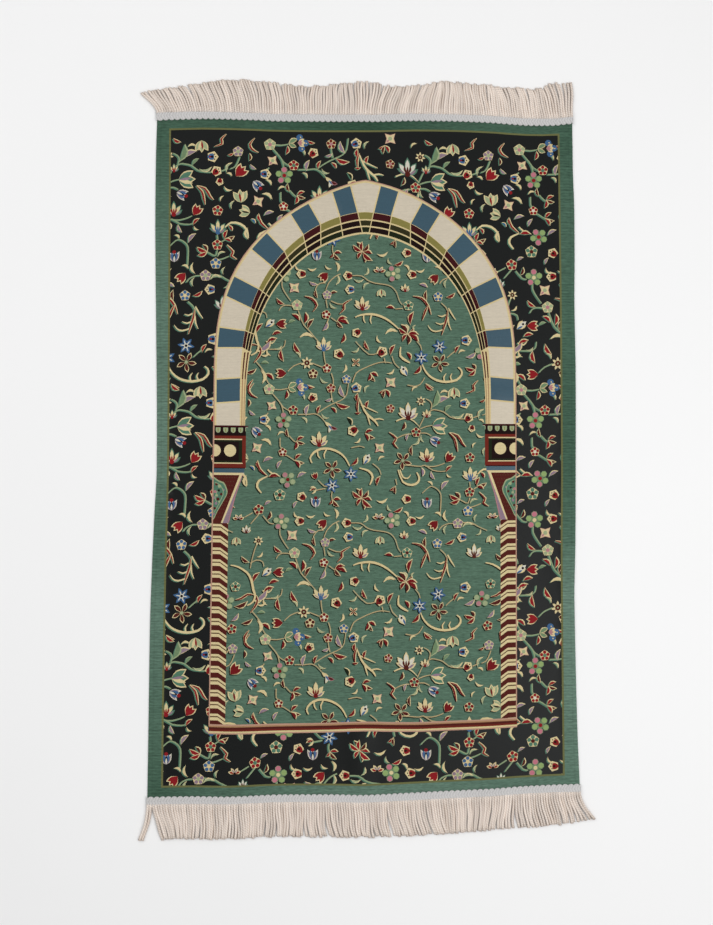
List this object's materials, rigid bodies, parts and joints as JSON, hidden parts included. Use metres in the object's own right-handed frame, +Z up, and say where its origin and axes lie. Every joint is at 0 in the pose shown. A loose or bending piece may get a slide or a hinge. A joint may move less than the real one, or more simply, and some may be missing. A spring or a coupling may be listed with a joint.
{
  "type": "prayer rug",
  "caption": "Flat woven prayer rug with turned side hems and a braided cord fringe sewn over each end.",
  "frame": {"origin": "centre of the whole rug's box, on the floor that it lies on", "axes": "+Y along the rug towards the point of the woven arch, +X across it to the right, +Z up from the floor"},
  "size_m": [0.7368, 1.25, 0.006],
  "materials": {
    "woven_cloth": "jacquard cloth with a chenille weft, soft and matt, its dark border a little glossy",
    "fringe_cotton": "twisted cream cotton cords on a white woven braid, matt"
  },
  "bodies": {
    "root": {"rug_cloth": "woven_cloth", "fringe_top": "fringe_cotton", "fringe_bottom": "fringe_cotton"}
  },
  "joints": []
}
